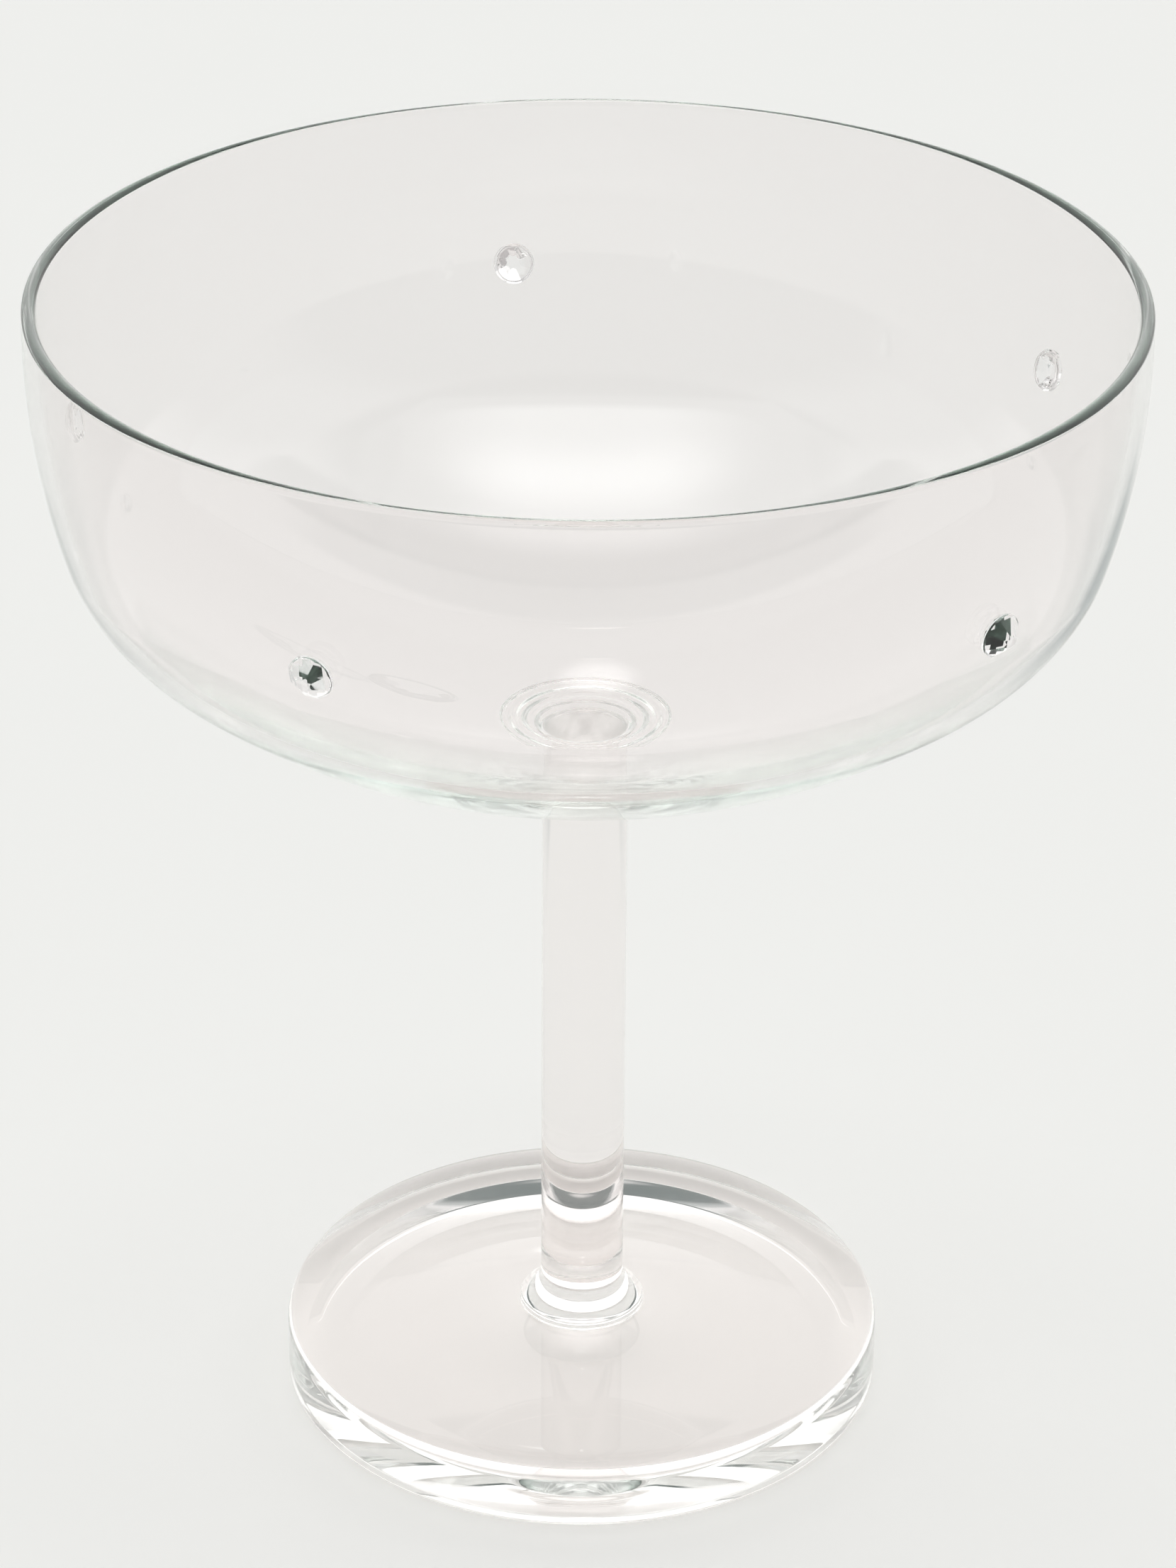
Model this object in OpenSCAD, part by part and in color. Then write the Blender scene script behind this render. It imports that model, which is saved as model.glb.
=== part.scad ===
// Coupe glass: a thin blown bowl on a solid rod stem and a heavy round foot,
// with a ring of faceted crystals glued round the outside of the bowl.
// Millimetres, +Z up, origin on the table under the middle of the foot.

/* [Overall] */
// Height from the table to the top of the rim
glass_h = 113; // [94:1:136]

/* [Bowl] */
// Outside diameter at the widest ring of the wall
bowl_d = 100; // [83:1:120]
// Outside depth from the rim to the underside of the bowl
bowl_depth = 44.2; // [36.8:0.1:53.1]
// Drop from the rim to the widest ring
widest_drop = 3.5; // [2.9:0.1:4.2]
// Radius of the barrelled side, in section
side_r = 67; // [55:1:81]
// Radius of the turn from the side into the bottom, in section
knuckle_r = 15; // [12.5:0.5:18]
// Radius of the shallow bottom, in section
bottom_r = 68; // [56:1:82]
// Thickness of the blown wall and of the rounded rim
wall_t = 1.25; // [1:0.05:1.6]
// Thickness of the bowl at its centre, over the stem
centre_t = 2.6; // [2.1:0.1:3.2]

/* [Stem] */
// Diameter of the rod
stem_d = 8; // [6.5:0.1:9.6]
// Diameter of the upper collar where it spreads on the bowl
upper_collar_d = 16; // [13.3:0.1:19.2]
// Height of the upper collar's upright edge against the bowl
upper_lip_h = 0.5; // [0.3:0.05:0.8]
// Diameter of the lower collar where it stands on the foot
lower_collar_d = 12; // [11:0.1:14.4]
// Height of the lower collar's upright edge above the foot
lower_lip_h = 0.6; // [0.4:0.05:0.9]
// Height of the flare from the rod out to a collar's edge
flare_h = 3.5; // [2.9:0.1:4.2]

/* [Foot] */
// Diameter of the foot
foot_d = 57.8; // [48:0.1:69.4]
// Thickness of the foot
foot_t = 6.7; // [5.6:0.1:8]
// Radius of the rounded top edge
foot_shoulder_r = 1.8; // [1.5:0.1:2.2]
// Radius of the polished bottom edge
foot_edge_r = 0.5; // [0.4:0.05:0.6]
// Width of the flat ring that the foot stands on
rest_ring_w = 1.9; // [1.5:0.1:2.3]
// Depth of the hollow under the foot
dish_depth = 2.4; // [2:0.1:2.9]

/* [Crystals] */
// How many crystals go round the bowl
crystal_count = 5; // [3:1:12]
// Drop from the rim to the ring of crystals
crystal_drop = 16.7; // [14:0.1:18]
// Turn of the first crystal from +X, in degrees
crystal_turn = 26.7; // [0:0.1:72]
// Diameter of a crystal at its girdle
crystal_d = 4; // [3.3:0.1:4.8]
// Height of a crystal from its flat back to its table
crystal_h = 1.5; // [1.3:0.1:1.8]
// Height of the upright girdle under the facets
girdle_h = 0.3; // [0.2:0.05:0.4]
// Slope of the eight main facets, in degrees
main_slope = 40; // [36:1:44]
// Slope of the eight small facets round the table, in degrees
star_slope = 25; // [21:1:30]
// Diameter of the ring where the small facets meet the ridges between the main facets
star_d = 1.6; // [1.4:0.1:1.9]
// Diameter of the glue spot under a crystal
glue_d = 3.6; // [3:0.1:4.3]
// Thickness of the glue at the middle of its spot
glue_t = 0.3; // [0.25:0.01:0.4]

/* [Hidden] */
$fn = 360;
facet_count = 8;
seat_steps = 12;
far = 4 * max(bowl_d, glass_h);

clear_glass = [0.93, 0.94, 0.93, 0.45];
solid_glass = [0.90, 0.92, 0.91, 0.6];
crystal_glass = [0.82, 0.88, 0.88, 0.8];
clear_glue = [0.95, 0.95, 0.92, 0.6];

// Section of the bowl, as [radius, height]: three arcs that run into each other
under_z = glass_h - bowl_depth;
side_c = [bowl_d / 2 - side_r, glass_h - widest_drop];
bottom_c = [0, under_z + bottom_r];
knuckle_c = meeting_point(bottom_c, bottom_r - knuckle_r, side_c, side_r - knuckle_r);

// The inner bottom runs into the inner knuckle and leaves centre_t over the stem
inner_floor_z = under_z + centre_t;
inner_knuckle_r = knuckle_r - wall_t;
inner_reach = inner_floor_z + inner_knuckle_r;
inner_bottom_c = [
  0,
  (inner_reach * inner_reach - knuckle_c * knuckle_c) / (2 * (inner_reach - knuckle_c[1]))
];
inner_bottom_r = inner_bottom_c[1] - inner_floor_z;

// The rim's round edge is centred in the wall, with its top at the glass's height
rim_rise = widest_drop - wall_t / 2;
rim_c = side_c + [sqrt(pow(side_r - wall_t / 2, 2) - rim_rise * rim_rise), rim_rise];

// Levels up the stem
upper_edge_z = underside_z(upper_collar_d / 2) - upper_lip_h;
stem_top_z = upper_edge_z - flare_h;
lower_edge_z = foot_t + lower_lip_h;
stem_bottom_z = lower_edge_z + flare_h;

// Hollow under the foot, a shallow cap of a ball
dish_d = foot_d - 2 * foot_edge_r - 2 * rest_ring_w;
dish_r = (dish_d * dish_d / 4 + dish_depth * dish_depth) / (2 * dish_depth);

// The outside of the bowl by its tilt: 0 where the wall stands upright, 90 under the middle
side_end = tilt_of(knuckle_c - side_c);
turn_end = tilt_of(knuckle_c - bottom_c);
side_run = arc_run(side_r, side_end);
turn_run = arc_run(knuckle_r, turn_end - side_end);

// Seat of a crystal, on whichever arc of the wall its height falls
seat_tilt = tilt_at_height(glass_h - crystal_drop);
seat_p = wall_point(seat_tilt);
seat_run = run_at_tilt(seat_tilt);

// How far the glue is drawn into the wall before the wall is cut from it: past the tightest curve's fall
glue_root = glue_d * glue_d / (4 * knuckle_r);

// Height of the ridges between a crystal's main facets, where its star facets meet them
ridge_z = girdle_h + (crystal_d - star_d * cos(180 / facet_count)) / 2 * tan(main_slope);

function unit(v) = v / norm(v);
function left_of(v) = [-v[1], v[0]];

// Where two circles cross, on the left of the line from the first centre to the second
function meeting_point(c1, r1, c2, r2) =
  let (
    span = norm(c2 - c1),
    along = (r1 * r1 - r2 * r2 + span * span) / (2 * span)
  )
  c1 + along * unit(c2 - c1) + sqrt(r1 * r1 - along * along) * left_of(unit(c2 - c1));

// Tilt of a line below the level, and the length of an arc
function tilt_of(v) = atan2(-v[1], v[0]);
function arc_run(r, angle) = r * angle * PI / 180;
function outwards(tilt) = [cos(tilt), -sin(tilt)];

// Point of the wall where it has this tilt
function wall_point(tilt) =
  tilt < side_end ? side_c + side_r * outwards(tilt)
  : tilt < turn_end ? knuckle_c + knuckle_r * outwards(tilt)
  : bottom_c + bottom_r * outwards(tilt);

// Tilt of the wall at a height
function tilt_at_height(z) =
  z > wall_point(side_end)[1] ? asin((side_c[1] - z) / side_r)
  : z > wall_point(turn_end)[1] ? asin((knuckle_c[1] - z) / knuckle_r)
  : asin((bottom_c[1] - z) / bottom_r);

// Length along the wall from its upright ring down to a tilt, and back
function run_at_tilt(tilt) =
  tilt < side_end ? arc_run(side_r, tilt)
  : tilt < turn_end ? side_run + arc_run(knuckle_r, tilt - side_end)
  : side_run + turn_run + arc_run(bottom_r, tilt - turn_end);
function tilt_at_run(s) =
  s < side_run ? s / arc_run(side_r, 1)
  : s < side_run + turn_run ? side_end + (s - side_run) / arc_run(knuckle_r, 1)
  : turn_end + (s - side_run - turn_run) / arc_run(bottom_r, 1);

// Height of the bowl's underside at a radius near the stem
function underside_z(r) = bottom_c[1] - sqrt(bottom_r * bottom_r - r * r);

// Radius of a flare that leaves the rod upright and spreads to a collar's edge
function flare_r(spread) = (spread * spread + flare_h * flare_h) / (2 * spread);

module disc_at(c, r) {
  translate(c)
    circle(r = r);
}

// Half section of a bowl's whole outline: side and bottom, with the turn between them
module bowl_outline(side, knuckle, floor_c, floor_r) {
  wedge = [
    knuckle_c,
    knuckle_c + far * unit(knuckle_c - side_c),
    knuckle_c + far * unit(knuckle_c - floor_c)
  ];
  difference() {
    intersection() {
      disc_at(side_c, side);
      disc_at(floor_c, floor_r);
      square(far);
    }
    polygon(wedge);
  }
  intersection() {
    disc_at(knuckle_c, knuckle);
    polygon(wedge);
  }
}

module bowl_outside() {
  bowl_outline(side_r, knuckle_r, bottom_c, bottom_r);
}

module bowl_inside() {
  bowl_outline(side_r - wall_t, inner_knuckle_r, inner_bottom_c, inner_bottom_r);
}

// Everything above the line from the side's centre through the rim's centre
module above_rim() {
  out = far * unit(rim_c - side_c);
  polygon([side_c, side_c + out, side_c + out + left_of(out), side_c + left_of(out)]);
}

module bowl() {
  color(clear_glass)
    rotate_extrude() {
      difference() {
        bowl_outside();
        bowl_inside();
        above_rim();
      }
      disc_at(rim_c, wall_t / 2);
    }
}

// Takes the flare out of a collar: it leaves the rod upright at height z and reaches the collar's edge
module flare_cut(collar_d, z) {
  spread = (collar_d - stem_d) / 2;
  disc_at([stem_d / 2 + flare_r(spread), z], flare_r(spread));
}

module upper_collar() {
  color(solid_glass)
    rotate_extrude()
      difference() {
        translate([0, stem_top_z])
          square([upper_collar_d / 2, inner_floor_z - stem_top_z]);
        flare_cut(upper_collar_d, stem_top_z);
        disc_at(bottom_c, bottom_r);
      }
}

module stem() {
  color(solid_glass)
    translate([0, 0, stem_bottom_z])
      cylinder(d = stem_d, h = stem_top_z - stem_bottom_z);
}

module lower_collar() {
  color(solid_glass)
    rotate_extrude()
      difference() {
        translate([0, foot_t])
          square([lower_collar_d / 2, stem_bottom_z - foot_t]);
        flare_cut(lower_collar_d, stem_bottom_z);
      }
}

module foot() {
  foot_r = foot_d / 2;
  color(solid_glass)
    rotate_extrude()
      difference() {
        union() {
          square([foot_r - foot_shoulder_r, foot_t]);
          translate([0, foot_edge_r])
            square([foot_r, foot_t - foot_edge_r - foot_shoulder_r]);
          square([foot_r - foot_edge_r, foot_t / 2]);
          disc_at([foot_r - foot_shoulder_r, foot_t - foot_shoulder_r], foot_shoulder_r);
          disc_at([foot_r - foot_edge_r, foot_edge_r], foot_edge_r);
        }
        disc_at([0, dish_depth - dish_r], dish_r);
      }
}

// Puts a piece on the wall at crystal k's place, with its +Z straight out of the wall
module on_wall(k) {
  rotate([0, 0, crystal_turn + 360 / crystal_count * (k - 1)])
    translate([seat_p[0], 0, seat_p[1]])
      rotate([0, 90 + seat_tilt, 0])
        children();
}

// Cuts one ring of flat facets: each is a plane through [r, z] that climbs inwards
module facet_ring(r, z, slope, turn) {
  for (k = [0:facet_count - 1])
    rotate([0, 0, turn + 360 / facet_count * k])
      translate([r, 0, z])
        rotate([0, slope, 0])
          translate([-crystal_d, -crystal_d, 0])
            cube([2 * crystal_d, 2 * crystal_d, crystal_d]);
}

module crystal(k) {
  color(crystal_glass)
    on_wall(k)
      translate([0, 0, glue_t])
        difference() {
          cylinder(d = crystal_d, h = crystal_h);
          facet_ring(crystal_d / 2, girdle_h, main_slope, 0);
          facet_ring(star_d / 2, ridge_z, star_slope, 180 / facet_count);
        }
}

// The stretch of the bowl's solid wall behind the crystals, in short steps that a thin film can lie on
module seat_band() {
  tilts = [for (k = [-seat_steps:seat_steps]) tilt_at_run(seat_run + k / seat_steps * crystal_d)];
  face = [for (tilt = tilts) wall_point(tilt)];
  back = [for (tilt = [tilts[2 * seat_steps], tilts[0]]) wall_point(tilt) - crystal_d * outwards(tilt)];
  rotate_extrude()
    polygon(concat(face, back));
}

module crystal_glue(k) {
  color(clear_glue)
    difference() {
      on_wall(k)
        translate([0, 0, -glue_root])
          cylinder(d = glue_d, h = glue_root + glue_t);
      seat_band();
    }
}

bowl();
upper_collar();
stem();
lower_collar();
foot();
for (k = [1:crystal_count]) {
  crystal(k);
  crystal_glue(k);
}
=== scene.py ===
"""Coupe glass: a blown bowl on a rod stem and a thick foot, with a ring of cut crystals, on a pale floor."""

import math

import bmesh
import bpy
from mathutils import Matrix, Vector


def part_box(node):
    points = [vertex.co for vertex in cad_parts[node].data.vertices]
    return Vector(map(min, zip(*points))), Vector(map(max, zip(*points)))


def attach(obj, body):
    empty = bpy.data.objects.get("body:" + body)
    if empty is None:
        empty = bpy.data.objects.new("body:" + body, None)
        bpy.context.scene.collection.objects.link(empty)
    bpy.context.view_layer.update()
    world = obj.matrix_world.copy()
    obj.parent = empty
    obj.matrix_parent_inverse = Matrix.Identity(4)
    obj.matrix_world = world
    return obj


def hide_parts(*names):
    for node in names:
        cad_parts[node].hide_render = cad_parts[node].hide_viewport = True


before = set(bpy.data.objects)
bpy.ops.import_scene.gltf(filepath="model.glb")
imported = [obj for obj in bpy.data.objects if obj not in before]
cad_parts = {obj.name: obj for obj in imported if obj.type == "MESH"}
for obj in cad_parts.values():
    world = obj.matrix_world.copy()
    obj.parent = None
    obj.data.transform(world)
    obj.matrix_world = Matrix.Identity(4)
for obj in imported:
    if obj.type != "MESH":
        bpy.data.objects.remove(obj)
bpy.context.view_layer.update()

bl_info = {
    "name": "Coupe Glass",
    "version": (1, 0, 0),
    "blender": (4, 5, 0),
    "location": "3D View > Sidebar > Coupe",
    "description": "Builds a coupe glass: turned glass pieces, cut crystals and a pale studio",
    "category": "Object",
}

# The picture's size and the camera that took it: focal length in pixels, place in metres, turn in degrees
PHOTO_SIZE = (1659, 2212)
FOCAL_PIXELS = 6840.1
CAMERA_PLACE = (0.0, -0.399521, 0.273127)
CAMERA_PITCH, CAMERA_ROLL, CAMERA_YAW = 27.6776, 0.39501, 0.03906

# Light goes round inside the rim many times before it leaves
BOUNCES = 160
CLEAR_BOUNCES = 64

# Points nearer than this are one point: of a section, of a turned mesh and of a cut stone
SAME_POINT, SAME_VERTEX, SAME_CORNER = 2e-8, 1e-8, 1e-7

# An attribute above MARKED is set, and a face whose normal has more than FACING of a direction looks that way
MARKED = 0.99
FACING = 0.9

# The stage: the floor lies a hair under the foot, and the small light behind the glass is aimed at the bowl
FLOOR_REACH, FLOOR_HEIGHT = 6.0, -0.00004
BACK_LIGHT_PLACE, BACK_LIGHT_AIM = (-0.004, 0.31, 0.292), (0.001, 0.0065, 0.0717)
BACK_LIGHT_SIZE = (0.016, 0.035, 1.0)

# The studio's parts by direction: fades along y or z, and patches with sides at x / z and ends at y / z
FRONT_FADE, BACK_FADE, CEILING_FADE = (-0.55, -0.15), (0.1, 0.45), (0.80, 0.87)
GAP = {"left": -0.9, "right": 0.9, "soft": 0.3, "near": 0.40, "far": 0.66, "fade": 0.05}
SOFTBOX = {"left": -0.42, "right": 0.42, "soft": 0.3, "near": -0.15, "far": 0.34, "fade": 0.15}
WASH = {"left": -0.6, "right": 0.5, "soft": 0.05, "near": -0.3, "far": 0.5, "fade": 0.05}
LOWEST_RISE = 0.02
COOL_LIGHT = (0.62, 0.88, 0.86)

# Painted dark reflections at the floor's sides, which show in the glass alone: sides as x over the way from
# the given stand-off in front, ends as y in metres
RIGHT_DARK_REFLECTION_PATCH = {"left": 0.15, "right": 0.25, "soft": 0.03, "near": 0.04, "far": 0.225, "fade": 0.07}
LEFT_DARK_REFLECTION_PATCH = {"left": -0.22, "right": -0.15, "soft": 0.03, "near": 0.04, "far": 0.225, "fade": 0.07}
DARK_REFLECTION_STAND_OFF = 0.4
PAINTED_DARK_REFLECTION = (0.25, 0.3, 0.31)

# How light bends in the glass and in the crystals, the facets in a ring, and the blown wall's waves
GLASS_IOR = 1.47
CRYSTAL_IOR = 1.56
FACETS = 8
WOBBLE_SCALE = 38.0

BOWL_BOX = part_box("bowl")
UPPER_COLLAR_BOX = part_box("upper_collar")
STEM_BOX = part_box("stem")
LOWER_COLLAR_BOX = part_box("lower_collar")
FOOT_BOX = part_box("foot")


def length(name, description, default):
    """A length that a user can change, in metres."""
    return bpy.props.FloatProperty(
        name=name, description=description, default=default, min=0.0, precision=5,
        unit="LENGTH", subtype="DISTANCE",
    )


def angle(name, description, degrees):
    """An angle that a user can change."""
    return bpy.props.FloatProperty(
        name=name, description=description, default=math.radians(degrees), subtype="ANGLE",
    )


def colour(name, description, default):
    """A linear colour that a user can change."""
    return bpy.props.FloatVectorProperty(
        name=name, description=description, default=default, size=3, min=0.0, max=1.0, subtype="COLOR",
    )


def share(name, description, default):
    """A plain number that a user can change."""
    return bpy.props.FloatProperty(
        name=name, description=description, default=default, min=0.0, subtype="FACTOR",
    )


class TurnedSizes(bpy.types.PropertyGroup):
    """Sizes of the pieces that are round about the upright axis."""

    rim_height: length("Rim height", "Top of the rim above the floor", BOWL_BOX[1].z)
    bowl_diameter: length("Bowl diameter", "Widest outside diameter of the bowl", 2 * BOWL_BOX[1].x)
    bowl_bottom: length("Bowl bottom", "Lowest point of the bowl above the floor", BOWL_BOX[0].z)
    widest_drop: length("Widest drop", "From the rim down to the widest ring", 0.0035)
    side_radius: length("Side radius", "Curve of the barrelled side, in section", 0.067)
    turn_radius: length("Turn radius", "Curve between the side and the bottom, in section", 0.015)
    bottom_radius: length("Bottom radius", "Curve of the shallow bottom, in section", 0.068)
    wall: length("Wall", "Thickness of the blown wall", 0.00125)
    centre: length("Centre", "Thickness of the bowl over the stem", 0.0026)
    stem_diameter: length("Stem diameter", "Diameter of the rod", 2 * STEM_BOX[1].x)
    stem_top: length("Stem top", "Where the rod starts to spread into the bowl", STEM_BOX[1].z)
    stem_bottom: length("Stem bottom", "Where the rod starts to spread onto the foot", STEM_BOX[0].z)
    upper_collar: length("Upper collar", "Diameter of the spread under the bowl", 2 * UPPER_COLLAR_BOX[1].x)
    lower_collar: length("Lower collar", "Diameter of the spread on the foot", 2 * LOWER_COLLAR_BOX[1].x)
    flare: length("Flare", "Height over which the rod spreads", 0.0035)
    foot_diameter: length("Foot diameter", "Diameter of the foot", 2 * FOOT_BOX[1].x)
    foot_thickness: length("Foot thickness", "Thickness of the foot at its edge", FOOT_BOX[1].z)
    shoulder_radius: length("Shoulder radius", "Rounding of the foot's top edge", 0.0018)
    edge_radius: length("Edge radius", "Rounding of the foot's bottom edge", 0.0005)
    ring_width: length("Ring width", "Width of the flat ring that the foot stands on", 0.0019)
    hollow_depth: length("Hollow depth", "Depth of the hollow under the foot", 0.0024)
    ripple: length("Ripple", "Depth of the tool's ripples in the spread under the bowl", 0.00024)
    softness: length("Softness", "How far fused corners are drawn round", 0.0002)
    wobble: length("Wobble", "How far the blown wall strays inwards from true round", 0.00012)
    segments: bpy.props.IntProperty(
        name="Segments", description="Steps round each turned piece", default=384, min=32, max=400,
    )


class CrystalSizes(bpy.types.PropertyGroup):
    """Sizes of the crystals and of the glue under them."""

    count: bpy.props.IntProperty(
        name="Count", description="How many crystals go round the bowl", default=5, min=1, max=12,
    )
    drop: length("Drop", "From the rim down to the ring of crystals", 0.0167)
    turn: angle("Turn", "Turn of the first crystal about the axis", 26.7)
    diameter: length("Diameter", "Diameter of a crystal at its girdle", 0.004)
    height: length("Height", "From a crystal's flat back to its table", 0.0015)
    girdle: length("Girdle", "Height of the upright girdle", 0.0003)
    main_slope: angle("Main slope", "Slope of the eight main facets", 40.0)
    star_slope: angle("Star slope", "Slope of the eight facets round the table", 25.0)
    star_diameter: length("Star diameter", "Where the star facets meet the main ridges", 0.0016)
    glue_diameter: length("Glue diameter", "Width of the glue spot", 0.0036)
    glue_thickness: length("Glue thickness", "Thickness of the glue in the middle", 0.0003)


class GlassFinish(bpy.types.PropertyGroup):
    """Colours of the glass and of the studio round it."""

    bowl_tint: colour("Bowl tint", "Tint of the blown glass's surface", (0.99, 0.962, 0.966))
    rod_tint: colour("Rod tint", "Tint of the solid glass's surface", (0.985, 0.955, 0.95))
    bowl_depth: colour("Bowl depth", "Colour that light takes on inside the wall", (0.82, 0.863, 0.84))
    rod_depth: colour("Rod depth", "Colour that light takes on inside the rod", (0.90, 0.925, 0.915))
    depth: share("Depth", "Share of the depth colour taken on at each turn inside the glass", 0.1)
    crystal_tint: colour("Crystal tint", "Tint of the cut crystal", (0.97, 0.98, 0.985))
    glue_tint: colour("Glue tint", "Tint of the clear glue", (0.97, 0.965, 0.95))
    floor: colour("Floor", "Colour of the floor", (0.86, 0.862, 0.848))
    floor_glow: share("Floor glow", "Light that the pale floor gives by itself", 0.095)
    studio: colour("Studio", "Colour of the pale studio all round", (0.84, 0.84, 0.828))
    front: share("Front", "How pale the studio is behind the camera", 0.58)
    back: share("Back", "How pale the studio's back wall is", 1.55)
    ceiling: share("Ceiling", "How pale the studio is overhead", 0.5)
    gap: share("Gap", "How pale the gap between the softbox and the back wall is", 0.06)
    cool: share("Cool", "How much cool light falls through the gap", 0.12)
    # How dark the painted dark reflections at the floor's right and left sides are, seen in the glass alone
    right_dark_reflection: share("Right dark reflection", "How dark the painted dark reflection on the right is", 0.55)
    left_dark_reflection: share("Left dark reflection", "How dark the painted dark reflection on the left is", 0.35)
    softbox: share("Softbox", "Brightness of the softbox over the glass", 2.6)
    wash: share("Wash", "Brightness of the ceiling round the softbox", 0.45)
    back_light: share("Back light", "Brightness of the small light behind the glass", 2.6)


def tell(sizes):
    """The scene's settings of one kind."""
    return getattr(bpy.context.scene, sizes)


# Section of the glass, as (radius, height) points from the middle of the bowl round to the hollow of the foot


def shares(steps):
    """Even steps from 0 to 1, with a short one at each end so that a run's end normals are its own."""
    short = 0.02 / steps
    even = [k / steps for k in range(steps + 1)]
    return even[:1] + [short] + even[1:-1] + [1.0 - short] + even[-1:]


def arc(centre, radius, start, stop, steps):
    """Points along an arc."""
    return [
        Vector((centre[0] + radius * math.cos(start + t * (stop - start)),
                centre[1] + radius * math.sin(start + t * (stop - start))))
        for t in shares(steps)
    ]


def line(start, stop, steps):
    """Points along a straight line."""
    start, stop = Vector(start), Vector(stop)
    return [start.lerp(stop, t) for t in shares(steps)]


def trimmed(points, reach):
    """The points with a reach cut off their end."""
    points = list(points)
    while len(points) > 2 and (points[-1] - points[-2]).length <= reach:
        reach -= (points[-1] - points[-2]).length
        points.pop()
    last = points.pop()
    way = points[-1] - last
    return points + [last + way.normalized() * reach]


def softened(before, after, reach, steps=10):
    """Two runs of points that meet in a corner, with the corner drawn round: (before, curve, after)."""
    corner = before[-1]
    before = trimmed(before, reach)
    after = trimmed(after[::-1], reach)[::-1]
    a, b = before[-1], after[0]
    curve = [
        (1 - t) ** 2 * a + 2 * t * (1 - t) * corner + t * t * b
        for t in (k / steps for k in range(1, steps))
    ]
    return before, curve, after


def rippled(points, centre, depth, count):
    """An arc's points with ripples across it, which die out at its two ends."""
    last = len(points) - 1

    def wave(k):
        return math.sin(math.pi * k / last) * math.sin(2 * math.pi * count * k / last)

    return [p + (p - centre).normalized() * depth * wave(k) for k, p in enumerate(points)]


def meeting_point(c1, r1, c2, r2):
    """Where two circles cross, on the left of the line from the first centre to the second."""
    way = c2 - c1
    span = way.length
    along = (r1 * r1 - r2 * r2 + span * span) / (2 * span)
    way.normalize()
    return c1 + along * way + math.sqrt(r1 * r1 - along * along) * Vector((-way.y, way.x))


def heading(start, stop):
    """Direction from one point to another, as an angle."""
    return math.atan2(stop[1] - start[1], stop[0] - start[0])


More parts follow.
